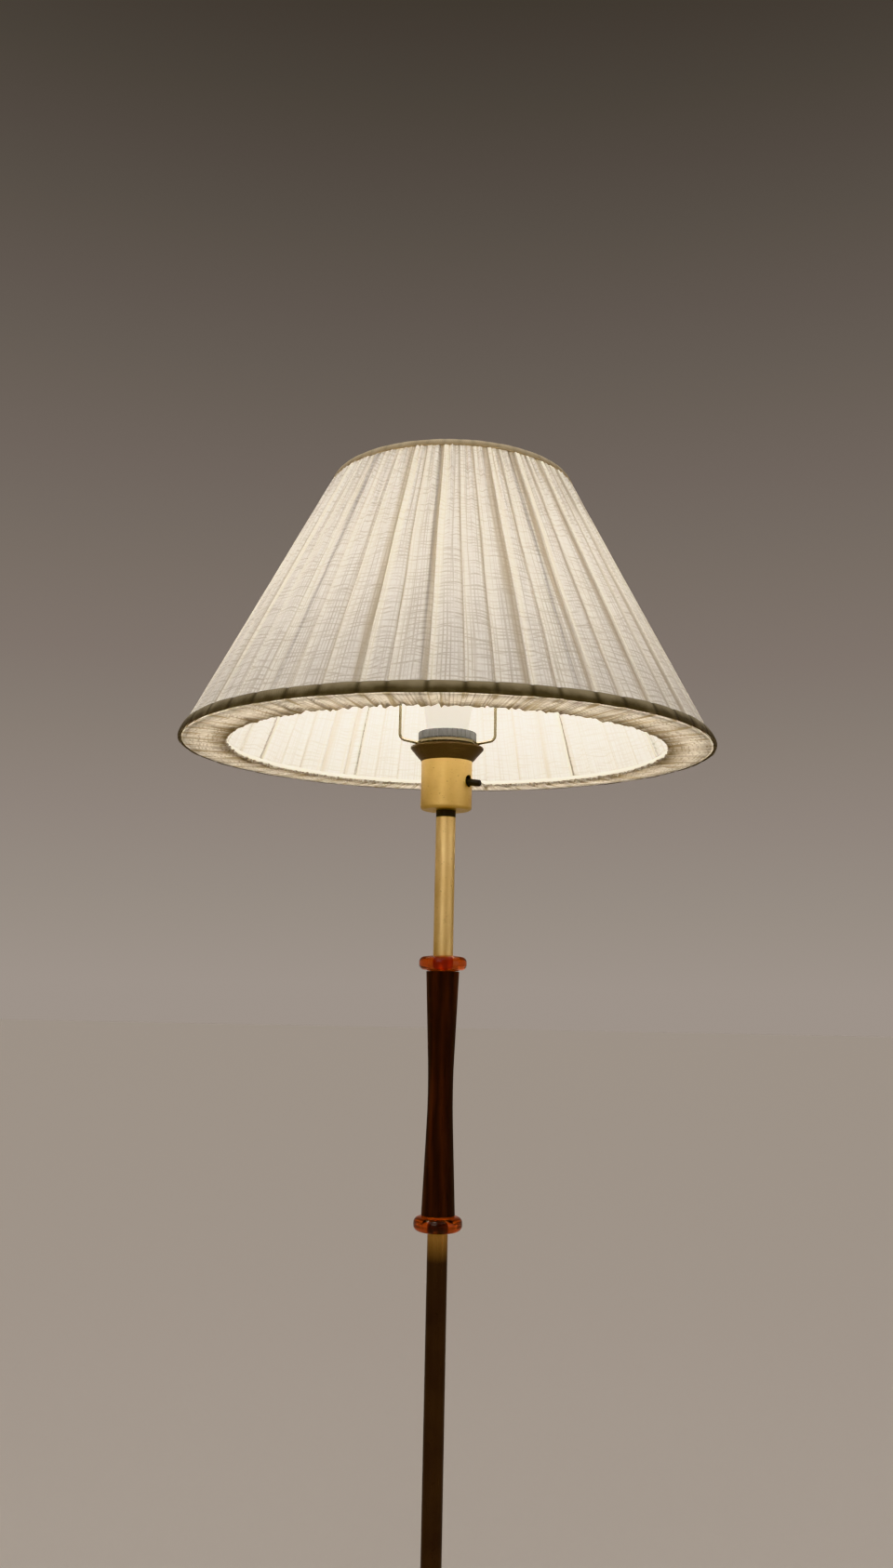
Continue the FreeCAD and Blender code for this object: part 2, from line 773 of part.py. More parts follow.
def make_flared_collar():
    foot = L.can_radius
    wall = S.flare_wall
    turned("flared_collar", [
        (foot - wall, 0), (foot, 0), (S.flare_radius, S.flare_skirt),
        (S.flare_radius, S.flare_height), (L.over_sleeve, S.flare_height),
        (L.over_sleeve, S.flare_height - wall),
        (S.flare_radius - S.flare_inner_wall, S.flare_height - wall)], L.flare)
    sleeve("collar_gasket", L.over_sleeve, S.gasket_radius, S.gasket_height, L.gasket)
    sleeve("harp_foot_ring", L.over_sleeve, S.harp_ring_radius, S.harp_ring_height, L.harp_ring)

    bore = L.sleeve_radius + S.thread_play
    nut = turned("shade_ring_nut", [
        (bore, 0), (S.ring_nut_radius - S.ring_nut_chamfer, 0),
        (S.ring_nut_radius, S.ring_nut_chamfer_height),
        (S.ring_nut_radius, S.ring_nut_height, S.ring_nut_chamfer),
        (bore, S.ring_nut_height)], L.ring_nut)
    groove = sketch_on(nut, "XY_Plane")
    circle(groove, S.groove_radius, S.ring_nut_radius + S.groove_offset)
    around(nut, pocket(nut, groove, away=True), S.ring_nut_grooves)


def make_harp():
    top = S.harp_height - S.saddle_thickness / 2
    rise = S.harp_wire_radius + S.harp_rise
    route = [(L.harp_wire_foot, S.harp_wire_radius), (S.harp_half_width, rise, S.harp_foot_bend),
             (S.harp_half_width, top, S.harp_top_bend), (S.saddle_half_length, top)]
    for name, angle in (("harp_right_wire", 0), ("harp_left_wire", 180)):
        bent_wire(body(name, L.harp_ring, angle), S.harp_wire_radius, route)

    saddle = body("harp_saddle", L.saddle_top - S.saddle_thickness)
    plan = sketch_on(saddle, "XY_Plane")
    rectangle(plan, -S.saddle_half_length, -S.saddle_half_width,
              S.saddle_half_length, S.saddle_half_width)
    pad(saddle, plan, S.saddle_thickness)
    stud = sketch_on(saddle, "XY_Plane")
    circle(stud, S.stud_radius)
    pad(saddle, stud, S.saddle_thickness + S.stud_height)

    bore = S.stud_radius + S.thread_play
    foot = L.saddle_top + S.spider_hub_thickness + S.finial_gap
    depth = S.stud_height - S.spider_hub_thickness + S.stud_end_gap
    turned("finial", [
        (bore, 0), (S.finial_radius, 0), (S.finial_radius, S.finial_rim),
        (S.finial_radius - S.finial_waist_depth, S.finial_waist_height, S.finial_waist_bend),
        (S.finial_radius, S.finial_bead_height, S.finial_waist_depth),
        (S.finial_radius - S.finial_crown_inset, S.finial_height, S.finial_crown_inset),
        (0, S.finial_height), (0, depth), (bore, depth)], foot)


# ---------------------------------------------------------------- bulb

def make_bulb():
    cap = S.bulb_cap_radius
    wall = S.bulb_wall
    globe = S.bulb_globe_radius
    tip = S.bulb_tip_radius
    foot = S.bulb_cap_foot
    cap_floor = cap - foot
    turned("bulb_tip_contact", [
        (0, 0), (tip, 0), (tip, S.bulb_tip_height), (0, S.bulb_tip_height)], L.bulb)
    turned("bulb_cap_insulator", [
        (0, S.bulb_tip_height), (tip, S.bulb_tip_height), (cap_floor, foot), (0, foot)], L.bulb)
    inner = cap - S.bulb_cap_wall
    taper_top = foot + S.bulb_cap_taper
    turned("bulb_screw_cap", [
        (0, foot), (cap_floor, foot), (cap, taper_top), (cap, S.bulb_cap_top),
        (inner, S.bulb_cap_top), (inner, taper_top + S.fit_play),
        (cap_floor, foot + S.bulb_cap_wall), (0, foot + S.bulb_cap_wall)], L.bulb)
    plug = S.bulb_cap_top - S.bulb_plug_depth
    plug_radius = inner - S.fit_play
    neck_floor = S.bulb_neck_top + S.bulb_neck_floor
    turned("bulb_housing", [
        (0, plug), (plug_radius, plug), (plug_radius, S.bulb_cap_top),
        (cap + S.bulb_cap_lip, S.bulb_cap_top), (S.bulb_neck_radius, S.bulb_neck_top),
        (S.bulb_housing_radius, S.bulb_housing_top),
        (S.bulb_housing_radius - wall - S.bulb_rim_gap, S.bulb_housing_top),
        (S.bulb_neck_radius - 2 * wall, neck_floor), (0, neck_floor)], L.bulb)
    board_top = S.bulb_housing_top - S.bulb_board_drop
    board = board_top - S.bulb_board_thickness
    board_radius = S.bulb_housing_radius - 2 * wall - S.bulb_board_gap
    turned("bulb_led_board", [
        (0, board), (board_radius, board), (board_radius, board_top), (0, board_top)], L.bulb)
    shoulder = S.bulb_housing_top + S.bulb_shoulder_height
    crown = globe - S.bulb_crown_gap
    turned("bulb_globe", [
        (S.bulb_housing_radius - wall, S.bulb_housing_top),
        (S.bulb_housing_radius, S.bulb_housing_top), (globe, shoulder, S.bulb_shoulder_bend),
        (globe, S.bulb_length, crown), (0, S.bulb_length),
        (0, S.bulb_length - wall), (globe - wall, S.bulb_length - wall, crown - wall),
        (globe - wall, shoulder, S.bulb_shoulder_bend - wall)], L.bulb)


# ---------------------------------------------------------------- shade

def make_shade_frame():
    wire_ring("shade_top_ring", L.top_ring_radius, S.top_wire_radius,
              L.shade_foot + L.top_ring_height)
    wire_ring("shade_bottom_ring", L.bottom_ring_radius, S.bottom_wire_radius,
              L.shade_foot + L.bottom_ring_height)
    wire_ring("shade_inner_ring", L.inner_ring_radius, S.bottom_wire_radius,
              L.shade_foot + L.inner_ring_height - S.underside_rise / 2)
    ribs = body("shade_ribs", L.shade_foot, S.rib_angle)
    rib = bent_wire(ribs, S.rib_radius, [
        (L.top_ring_radius, L.top_ring_height),
        (L.bottom_ring_radius, L.bottom_ring_height, S.rib_bend),
        (L.inner_ring_radius, L.inner_ring_height - S.underside_rise / 2)])
    around(ribs, rib, S.rib_count)

    spider = body("shade_spider", L.hub_center, S.spider_angle)
    hub = sketch_on(spider)
    half = S.spider_hub_thickness / 2
    rectangle(hub, S.stud_radius + S.hub_play, -half, S.spider_hub_radius, half)
    spin(spider, hub)
    arm = bent_wire(spider, S.spider_wire_radius, [
        (S.spider_hub_radius - S.arm_sink, S.spider_wire_radius - half + S.hub_play),
        (L.top_ring_radius, S.spider_drop)])
    around(spider, arm, S.spider_count)


def make_shade_cloth():
    cloth = S.cloth_thickness / CONE_COSINE
    low = S.underside_rise
    high = S.shade_height
    turned("shade_fabric", [
        (cloth_radius(low) - cloth, low), (cloth_radius(low), low),
        (cloth_radius(high), high), (cloth_radius(high) - cloth, high)], L.shade_foot)
    rim = cloth_radius(low)
    turned("shade_underside_fabric", [
        (S.shade_opening_radius, -S.underside_rise / 2),
        (rim, 0), (rim, low), (rim - cloth, low),
        (S.shade_opening_radius, S.cloth_thickness - S.underside_rise / 2)], L.shade_foot)
    for name, low, high in (
            ("shade_bottom_trim", sized(0), S.bottom_trim_height),
            ("shade_top_trim", S.shade_height - S.top_trim_height, S.shade_height)):
        turned(name, [
            (cloth_radius(low), low),
            (cloth_radius(low) + S.trim_thickness, low, S.trim_corner),
            (cloth_radius(high) + S.trim_thickness, high, S.trim_corner),
            (cloth_radius(high), high)], L.shade_foot)


# ---------------------------------------------------------------- checks and export

def check_document():
    """Stops the build if any feature failed or any piece has a bad shape."""
    for item in doc.Objects:
        if "Invalid" in item.State or "Error" in item.State:
            raise RuntimeError("%s failed: %s" % (item.Label, item.State))
    for piece in bodies:
        shape = piece.Shape
        if shape.isNull() or not shape.isValid() or not shape.Solids:
            raise RuntimeError("%s has a bad shape" % piece.Label)


def check_cut(piece):
    """Each cut takes material away from the feature before it."""
    features = [item for item in piece.Group if item.isDerivedFrom("PartDesign::Feature")]
    for earlier, later in zip(features, features[1:]):
        if later.TypeId == "PartDesign::Pocket":
            if later.Shape.Volume > earlier.Shape.Volume - 0.5:
                raise RuntimeError("%s: a pocket cuts nothing" % piece.Label)


def main():
    make_base()
    make_cord_entry()
    make_column()
    make_lampholder()
    make_switch()
    make_inner_lead()
    make_flared_collar()
    make_harp()
    make_bulb()
    make_shade_frame()
    make_shade_cloth()
    doc.recompute()
    check_document()
    os.makedirs("parts", exist_ok=True)
    for piece in bodies:
        check_cut(piece)
        piece.Shape.exportStep("parts/%s.step" % piece.Label)


main()
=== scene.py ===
"""The looks of a brass floor lamp with a gathered linen shade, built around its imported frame.

Metres throughout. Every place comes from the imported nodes, so nothing here moves a CAD part.
"""

import json
import math
import random

import bpy
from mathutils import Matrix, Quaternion, Vector, noise


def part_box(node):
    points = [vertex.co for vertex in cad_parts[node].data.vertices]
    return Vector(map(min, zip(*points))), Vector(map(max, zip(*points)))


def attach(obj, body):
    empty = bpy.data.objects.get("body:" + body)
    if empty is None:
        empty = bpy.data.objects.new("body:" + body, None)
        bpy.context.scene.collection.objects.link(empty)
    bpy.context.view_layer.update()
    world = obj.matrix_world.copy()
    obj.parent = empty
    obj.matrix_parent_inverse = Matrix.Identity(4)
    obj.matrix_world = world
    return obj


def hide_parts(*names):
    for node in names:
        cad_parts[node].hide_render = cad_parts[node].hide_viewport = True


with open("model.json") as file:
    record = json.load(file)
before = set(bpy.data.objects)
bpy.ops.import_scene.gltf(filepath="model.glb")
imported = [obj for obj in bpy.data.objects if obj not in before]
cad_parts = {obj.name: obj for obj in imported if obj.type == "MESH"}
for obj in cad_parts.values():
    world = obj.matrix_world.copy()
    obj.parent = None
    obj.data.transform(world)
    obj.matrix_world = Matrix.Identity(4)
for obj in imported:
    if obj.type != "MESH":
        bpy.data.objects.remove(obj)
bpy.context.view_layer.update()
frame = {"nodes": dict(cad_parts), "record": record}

SEED = 7
MM = 0.001

# The pleats that face the viewer, in degrees from the front to the right, and which of them carry
# a painted highlight.
FRONT_PLEATS = (-31.0, -24.0, -16.3, -11.0, -3.8, 3.0, 8.6, 15.2, 20.4, 28.0, 34.3, 42.3)
BRIGHT_PLEATS = (2, 4, 7, 9, 11)
# Degrees from pleat to pleat round the rest of the shade, and the share of those that carry a
# painted highlight.
PLEAT_STEP = 7.2
BRIGHT_SHARE = 0.34

# How finely each cloth is divided.
PLEAT_COLUMNS, SHADE_ROWS = 22, 64
UNDERSIDE_COLUMNS, UNDERSIDE_ROWS, HEM_ROWS = 2600, 18, 4
TAPE_COLUMNS, TAPE_SECTION = 1440, 14
# Gathers round the underside, and how many rows curl up behind the piping.
GATHERS = 170
CLIMB_ROWS = 2

GLOBE_STRENGTH = 78.0
# painted light: a faint glow on the bulb housing, which gives no light of its own
HOUSING_PAINTED_GLOW = 0.22
ACRYLIC_IOR = 1.49

# The surround's colours by height, from the horizon up, as shares of the way from nadir to zenith.
SURROUND = ((0.50, (0.382, 0.333, 0.295)),
            (0.62, (0.255, 0.217, 0.190)),
            (0.84, (0.075, 0.067, 0.058)))
# Each soft light's name, place, target, size, power and colour.
SOFT_LIGHTS = (("key", (-0.9, -2.6, 1.9), (0, 0, 1.0), 1.2, 9.0, (1.0, 0.96, 0.90)),
               ("fill", (2.6, -1.2, 1.4), (0, 0, 0.9), 1.8, 5.0, (1.0, 0.97, 0.93)))

FLOOR_REACH = 30
EYE = (0, -1.1473, 0.992)
EYE_PITCH, EYE_ROLL = math.radians(8.86), math.radians(1.14)
SENSOR_WIDTH, FOCAL_LENGTH = 36.0, 29.68


# ---------------------------------------------------------------- frame measures

def radii(node, height):
    """Smallest and largest distance from the axis of a node's points near a height."""
    found = [math.hypot(v.co.x, v.co.y) for v in frame["nodes"][node].data.vertices
             if abs(v.co.z - height) < 0.6 * MM]
    return min(found), max(found)


CLOTH_LOW, CLOTH_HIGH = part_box("shade_fabric")
UNDER_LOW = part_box("shade_underside_fabric")[0]
SHADE_FOOT = CLOTH_LOW.z
SHADE_TOP = CLOTH_HIGH.z
BOTTOM_RADIUS = radii("shade_fabric", SHADE_FOOT)[1]
TOP_RADIUS = radii("shade_fabric", SHADE_TOP)[1]
OPENING_RADIUS = radii("shade_underside_fabric", UNDER_LOW.z)[0]
SLANT = math.hypot(BOTTOM_RADIUS - TOP_RADIUS, SHADE_TOP - SHADE_FOOT)
CONE_TILT = math.atan2(BOTTOM_RADIUS - TOP_RADIUS, SHADE_TOP - SHADE_FOOT)


# ---------------------------------------------------------------- mesh helpers

def smoothstep(low, high, x):
    t = min(1.0, max(0.0, (x - low) / (high - low)))
    return t * t * (3 - 2 * t)


def bell(distance, width):
    """1 at no distance, and next to nothing at twice the width."""
    return math.exp(-(distance / width) ** 2)


def grid_object(name, rows, closed=False):
    """A quad grid through rows of points. A closed one also joins its ends and its sides."""
    across = len(rows[0])
    points = [point for row in rows for point in row]
    faces = []
    for row in range(len(rows) if closed else len(rows) - 1):
        above = (row + 1) % len(rows)
        for column in range(across if closed else across - 1):
            after = (column + 1) % across
            faces.append((row * across + column, row * across + after,
                          above * across + after, above * across + column))
    mesh = bpy.data.meshes.new(name)
    mesh.from_pydata(points, [], faces)
    mesh.shade_smooth()
    made = bpy.data.objects.new(name, mesh)
    bpy.context.scene.collection.objects.link(made)
    return made


def set_attributes(piece, cloth, **numbers):
    """Stores the cloth's own coordinates, and any lists with one number for each point."""
    layer = piece.data.attributes.new("cloth", "FLOAT_VECTOR", "POINT")
    layer.data.foreach_set("vector", [part for spot in cloth for part in spot])
    for name, values in numbers.items():
        layer = piece.data.attributes.new(name, "FLOAT", "POINT")
        layer.data.foreach_set("value", values)


def around_axis(angle, radius, height):
    """A point at an angle from the front, to the right, in radians."""
    return Vector((radius * math.sin(angle), -radius * math.cos(angle), height))


# ---------------------------------------------------------------- material helpers

class Paint:
    """Builds one node material around a Principled shader.

    A value given to set, node or feed is a number, a colour, a socket or a node.
    """

    def __init__(self, name, color=(0.5, 0.5, 0.5), roughness=0.5, metallic=0.0, **values):
        self.material = bpy.data.materials.new(name)
        self.material.use_nodes = True
        self.tree = self.material.node_tree
        self.shader = self.tree.nodes["Principled BSDF"]
        self.output = self.tree.nodes["Material Output"]
        self.set(base_color=color, roughness=roughness, metallic=metallic, **values)

    def feed(self, socket, value):
        if isinstance(value, bpy.types.NodeSocket):
            self.tree.links.new(value, socket)
        elif isinstance(value, bpy.types.Node):
            self.tree.links.new(value.outputs[0], socket)
        elif hasattr(value, "__len__") and len(value) == 3 and len(socket.default_value) == 4:
            socket.default_value = (*value, 1.0)
        else:
            socket.default_value = value

    def set(self, **values):
        for name, value in values.items():
            self.feed(self.shader.inputs[name.replace("_", " ").title().replace("Ior", "IOR")],
                      value)

    def node(self, kind, inputs=None, **settings):
        made = self.tree.nodes.new("ShaderNode" + kind)
        for name, value in settings.items():
            setattr(made, name, value)
        for name, value in (inputs or {}).items():
            self.feed(made.inputs[name], value)
        return made

    def place(self, scale=(1, 1, 1), source=None):
        """Object coordinates, or another vector, stretched."""
        if source is None:
            source = self.node("TexCoord").outputs["Object"]
        return self.node("Mapping", {"Vector": source, "Scale": scale})

    def noise(self, scale, vector=None, detail=3.0, roughness=0.55, distortion=0.0):
        vector = vector if vector is not None else self.place()
        made = self.node("TexNoise", {"Vector": vector, "Scale": scale, "Detail": detail,
                                      "Roughness": roughness, "Distortion": distortion})
        return made.outputs["Fac"]

    def ramp(self, value, low, high, to_low=0.0, to_high=1.0):
        return self.node("MapRange", {"Value": value, "From Min": low, "From Max": high,
                                      "To Min": to_low, "To Max": to_high}).outputs["Result"]

    def math(self, operation, first, second):
        made = self.node("Math", operation=operation)
        self.feed(made.inputs[0], first)
        self.feed(made.inputs[1], second)
        return made.outputs["Value"]

    def mix(self, factor, first, second):
        made = self.node("Mix", data_type="RGBA")
        self.feed(made.inputs[0], factor)
        self.feed(made.inputs[6], first)
        self.feed(made.inputs[7], second)
        return made.outputs[2]

    def bump(self, height, strength, distance):
        made = self.node("Bump", {"Height": height, "Strength": strength,
                                  "Distance": distance})
        return made.outputs["Normal"]

    def attribute(self, name, output="Fac"):
        return self.node("Attribute", attribute_name=name).outputs[output]


# ---------------------------------------------------------------- materials

def brass(name, color, dark, roughness, grain=(1, 1, 1), tarnish=0.5, top=None):
    """Lacquered brass: fine polishing lines, cloudy ageing and small dark specks.

    Where a top height is given, the brass stays bright near that height and painted shade darkens
    it further down.
    """
    paint = Paint(name, roughness=roughness, metallic=1.0)
    clouds = paint.noise(22.0, detail=5.0, roughness=0.6)
    lines = paint.noise(900.0, paint.place(grain), detail=2.0)
    specks = paint.ramp(paint.noise(420.0, detail=2.0), 0.66, 0.74)
    tarnish_and_shade = paint.ramp(clouds, 0.42, 0.72, 0.0, tarnish)
    # painted shade: under the top height the brass goes dark, as if lit only from above
    if top is not None:
        height = paint.node("SeparateXYZ", {"Vector": paint.node("TexCoord").outputs["Object"]})
        shaded_below = paint.ramp(height.outputs["Z"], top - 0.004, top - 0.024)
        tarnish_and_shade = paint.math("ADD", paint.math("MULTIPLY", shaded_below, 0.90),
                          paint.math("MULTIPLY", tarnish_and_shade, 0.10))
    base = paint.mix(tarnish_and_shade, color, dark)
    base = paint.mix(paint.math("MULTIPLY", specks, 0.35), base, [0.3 * c for c in dark])
    rough = paint.ramp(paint.math("ADD", lines, clouds), 0.7, 1.3,
                       roughness - 0.07, roughness + 0.10)
    paint.set(base_color=base, roughness=rough, normal=paint.bump(lines, 0.12, 0.05 * MM))
    return paint.material


def wood_material():
    """Oiled dark reddish wood with long figured grain and open pores."""
    paint = Paint("oiled_wood", roughness=0.35)
    figure = paint.noise(30.0, paint.place((1, 1, 0.16)), detail=4.0, distortion=0.6)
    rings = paint.node("TexWave", {"Vector": paint.place((1, 1, 0.10)), "Scale": 34.0,
                                   "Distortion": 9.0, "Detail": 3.0, "Detail Scale": 1.6},
                       wave_type="BANDS", bands_direction="X").outputs["Fac"]
    pores = paint.ramp(paint.noise(900.0, paint.place((1, 1, 0.035)), detail=2.0), 0.58, 0.68)
    base = paint.mix(rings, (0.024, 0.008, 0.006), (0.070, 0.022, 0.013))
    base = paint.mix(paint.ramp(figure, 0.40, 0.65, 0.0, 0.75), base, (0.012, 0.004, 0.003))
    base = paint.mix(paint.math("MULTIPLY", pores, 0.6), base, (0.006, 0.002, 0.002))
    paint.set(base_color=base, roughness=paint.ramp(pores, 0.0, 1.0, 0.38, 0.6),
              normal=paint.bump(pores, 0.25, -0.15 * MM), specular_ior_level=0.22)
    return paint.material


def amber_material():
    """Clear red-amber acrylic with faint clouds and hair scratches."""
    paint = Paint("amber_acrylic", roughness=0.04, transmission_weight=1.0, ior=ACRYLIC_IOR)
    clouds = paint.noise(55.0, detail=3.0)
    base = paint.mix(clouds, (0.74, 0.160, 0.052), (0.62, 0.110, 0.036))
    scratches = paint.noise(1100.0, paint.place((1, 1, 0.2)), detail=2.0)
    paint.set(base_color=base, roughness=paint.ramp(scratches, 0.4, 0.8, 0.02, 0.12))
    return paint.material


def plastic(name, color, roughness, scale=700.0, **values):
    """Moulded plastic with a fine surface texture and slightly uneven gloss."""
    paint = Paint(name, color, roughness, **values)
    texture = paint.noise(scale, detail=2.0)
    cloud = paint.noise(40.0, detail=4.0)
    light = [min(1.0, 1.18 * c) for c in color]
    dark = [0.86 * c for c in color]
    paint.set(base_color=paint.mix(cloud, dark, light),
              roughness=paint.ramp(cloud, 0.3, 0.7, roughness - 0.06, roughness + 0.08),
              normal=paint.bump(texture, 0.12, 0.05 * MM))
    return paint.material


def felt_material():
    """Dark green felt."""
    paint = Paint("felt", roughness=0.95, sheen_weight=0.4, sheen_roughness=0.5)
    hair = paint.noise(1400.0, detail=4.0, distortion=1.5)
    paint.set(base_color=paint.mix(hair, (0.012, 0.02, 0.014), (0.05, 0.075, 0.055)),
              normal=paint.bump(hair, 0.6, 0.3 * MM))
    return paint.material


def iron_material():
    """Cast iron with its sand texture under black lacquer."""
    paint = Paint("lacquered_iron", roughness=0.55, metallic=0.3)
    sand = paint.noise(520.0, detail=5.0)
    paint.set(base_color=paint.mix(sand, (0.012, 0.012, 0.013), (0.045, 0.042, 0.040)),
              roughness=paint.ramp(sand, 0.3, 0.7, 0.4, 0.75),
              normal=paint.bump(sand, 0.7, 0.35 * MM))
    return paint.material


def metal(name, color, roughness):
    """Plain metal with fine brushed lines round it."""
    paint = Paint(name, roughness=roughness, metallic=1.0)
    lines = paint.noise(700.0, paint.place((1, 1, 6)), detail=3.0)
    paint.set(base_color=paint.mix(lines, [0.75 * c for c in color], color),
              roughness=paint.ramp(lines, 0.3, 0.7, roughness - 0.08, roughness + 0.12),
              normal=paint.bump(lines, 0.2, 0.05 * MM))
    return paint.material


def globe_material():
    """The bulb's opal globe, lit from inside."""
    paint = Paint("opal_globe_lit", roughness=0.35, emission_color=(1.0, 0.96, 0.89),
                  emission_strength=GLOBE_STRENGTH)
    soft = paint.noise(60.0, detail=2.0)
    paint.set(base_color=paint.mix(soft, (0.90, 0.88, 0.84), (0.96, 0.94, 0.90)))
    return paint.material


def linen_material(name, streaks, passing_share, double_and_shade_color):
    """Open cream linen that glows when lit from behind.

    The cloth's own coordinates, in metres along the weft and the warp, carry the weave. One
    attribute says how far the cloth lies in two layers there, with painted shade in its creases
    and gather valleys; another carries painted highlights at the pleats' edges and lit sides.
    """
    paint = Paint(name, roughness=0.9)
    cloth = paint.attribute("cloth", "Vector")
    spot = paint.node("SeparateXYZ", {"Vector": cloth})

    def threads(along, pitch, wander, bends, fades, width):
        """Parallel threads a pitch apart that wander together and fade in and out."""
        bend = paint.noise(1.0, paint.place(bends, cloth), detail=1.0)
        moved = paint.math("ADD", spot.outputs[along], paint.math("MULTIPLY", bend, wander))
        away = paint.math("PINGPONG", moved, 0.5 * pitch)
        line = paint.ramp(away, 0.0, width * pitch, 1.0, 0.0)
        weight = paint.ramp(paint.noise(1.0, paint.place(fades, cloth), detail=1.0),
                            0.40, 0.60, 0.10, 1.0)
        return paint.math("MULTIPLY", line, weight)

    weft = paint.math("MAXIMUM",
                      threads("Y", pitch=3.7 * MM, wander=19 * MM, bends=(27, 18, 9),
                              fades=(24, 280, 5), width=0.33),
                      threads("Y", pitch=6.3 * MM, wander=24 * MM, bends=(19, 13, 4),
                              fades=(18, 160, 8), width=0.20))
    warp = paint.math("MAXIMUM",
                      threads("X", pitch=3.2 * MM, wander=5 * MM, bends=(30, 7, 9),
                              fades=(320, 9, 5), width=0.31),
                      threads("X", pitch=5.6 * MM, wander=6 * MM, bends=(26, 5, 3),
                              fades=(180, 6, 7), width=0.20))
    fine = paint.math("ADD", paint.noise(1.0, paint.place((60, 640, 5), cloth), detail=1.0),
                      paint.noise(1.0, paint.place((700, 20, 5), cloth), detail=1.0))
    fine = paint.ramp(fine, 0.80, 1.20)
    thick = paint.math("ADD", paint.math("MULTIPLY", paint.math("MAXIMUM", weft, warp), 0.80),
                       paint.math("MULTIPLY", fine, 0.20))
    streak = paint.ramp(paint.noise(1.0, paint.place((340, 6, 3), cloth), detail=2.0),
                        0.38, 0.62, 1.0 - streaks, 1.0 + streaks)
    # the cloth darkens where it lies in two layers, and painted shade darkens its creases and
    # gather valleys
    fold = paint.math("MINIMUM", paint.math("MULTIPLY", paint.attribute("fold"), streak), 1.0)
    through = paint.mix(thick, (0.78, 0.73, 0.655), (0.235, 0.19, 0.135))
    # painted highlight: the pleats' edges and lit sides pass a brighter warm light
    through = paint.mix(paint.attribute("gleam"), through, (1.0, 0.93, 0.74))
    through = paint.mix(fold, through, double_and_shade_color)
    front = paint.mix(thick, (0.94, 0.935, 0.92), (0.66, 0.62, 0.55))
    front = paint.mix(paint.math("MULTIPLY", fold, 0.6), front, (0.62, 0.55, 0.43))
    normal = paint.bump(thick, 0.4, 0.3 * MM)
    facing = paint.node("BsdfDiffuse", {"Color": front, "Normal": normal})
    passing = paint.node("BsdfTranslucent", {"Color": through, "Normal": normal})
    both = paint.node("MixShader", {"Fac": passing_share})
    paint.feed(both.inputs[1], facing)
    paint.feed(both.inputs[2], passing)
    paint.tree.links.new(both.outputs[0], paint.output.inputs["Surface"])
    return paint.material


def braid_material(name, color, light):
    """Folded cloth tape: a diagonal weave, with painted light along its upper side and painted
    shade at the pleats.
    """
    paint = Paint(name, roughness=0.8, sheen_weight=0.15)
    cloth = paint.attribute("cloth", "Vector")
    twill = paint.node("TexWave", {"Vector": paint.place((1, 1, 0), cloth),
                                   "Scale": 420.0, "Distortion": 2.0, "Detail": 2.0},
                       wave_type="BANDS", bands_direction="DIAGONAL").outputs["Fac"]
    upper = paint.node("SeparateXYZ", {"Vector": cloth}).outputs["Z"]
    cloud = paint.ramp(paint.noise(60.0, detail=4.0), 0.30, 0.70, -0.35, 0.35)
    # painted light: the tape's upper side is lighter, with random tone laid over it
    top_light_and_tone = paint.math("ADD", paint.ramp(upper, 0.25, 0.85), cloud)
    top_light_and_tone = paint.math("MINIMUM", paint.math("MAXIMUM", top_light_and_tone, 0.0), 1.0)
    base = paint.mix(top_light_and_tone, color, light)
    base = paint.mix(paint.math("MULTIPLY", twill, 0.35), base, [0.5 * c for c in color])
    # painted shade: the tape darkens in its pinch at each pleat
    base = paint.mix(paint.attribute("fold"), base, [0.30 * c for c in color])
    paint.set(base_color=base, normal=paint.bump(twill, 0.5, 0.15 * MM))
    return paint.material


# ---------------------------------------------------------------- shade cloth

def pleat_angles():
    """Where the pleats stand, in degrees from the front, all round and in order."""
    chance = random.Random(SEED)
    start, end = FRONT_PLEATS[-1], FRONT_PLEATS[0] + 360
    count = round((end - start) / PLEAT_STEP)
    steps = [1 + chance.uniform(-0.22, 0.22) for _ in range(count)]
    total = sum(steps)
    angles = list(FRONT_PLEATS)
    reached = start
    for step in steps[:-1]:
        reached += step * (end - start) / total
        angles.append(reached)
    return angles


def pleats():
    """Each pleat's start and width, its lip, overlap and bulge, its painted highlight, and how it
    gathers.
    """
    chance = random.Random(SEED + 1)
    angles = pleat_angles()
    made = []
    for index, start in enumerate(angles):
        after = angles[(index + 1) % len(angles)]
        width = (after - start) % 360
        front = index < len(FRONT_PLEATS)
        bright = index in BRIGHT_PLEATS if front else chance.random() < BRIGHT_SHARE
        made.append({
            "start": math.radians(start), "width": math.radians(width),
            "lip": chance.uniform(1.3, 2.3) * MM if bright else chance.uniform(0.5, 1.2) * MM,
            "overlap": chance.uniform(6.5, 9.5) * MM if bright else chance.uniform(1.5, 4.0) * MM,
            "gleam": chance.uniform(0.7, 1.0) if bright else chance.uniform(0.0, 0.25),
            "bulge": chance.uniform(0.6, 1.5) * MM,
            "phase": chance.uniform(0, math.tau),
        })
    return made


PLEATS = pleats()


def from_pleat(angle, radius):
    """Distance along a girth from an angle to the start of the nearest pleat."""
    return radius * min(abs((angle - pleat["start"] + math.pi) % math.tau - math.pi)
                        for pleat in PLEATS)


